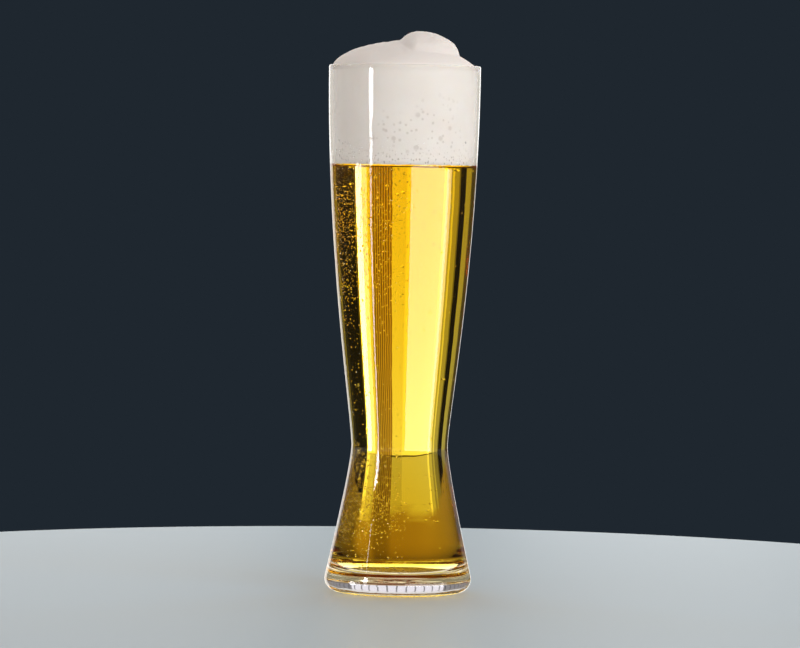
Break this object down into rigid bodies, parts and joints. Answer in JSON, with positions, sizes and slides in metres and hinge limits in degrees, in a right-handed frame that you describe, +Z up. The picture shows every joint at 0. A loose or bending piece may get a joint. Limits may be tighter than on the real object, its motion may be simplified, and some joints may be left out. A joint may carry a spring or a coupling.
{
  "type": "pilsner glass",
  "caption": "Tall footed beer glass with a narrow waist and a heavy clear base, poured full of golden lager under a mounded white head of foam.",
  "frame": {"origin": "centre of the resting ring, on the surface that the glass stands on", "axes": "+Z up along the axis of the glass, +X towards the side that the crown of the foam leans to, -Y towards the pictured side"},
  "size_m": [0.0706, 0.0706, 0.2605],
  "materials": {
    "clear_glass": "polished",
    "golden_lager": "polished",
    "white_foam": "matte"
  },
  "bodies": {
    "root": {"glass": "clear_glass", "beer": "golden_lager", "foam_head": "white_foam"}
  },
  "joints": []
}
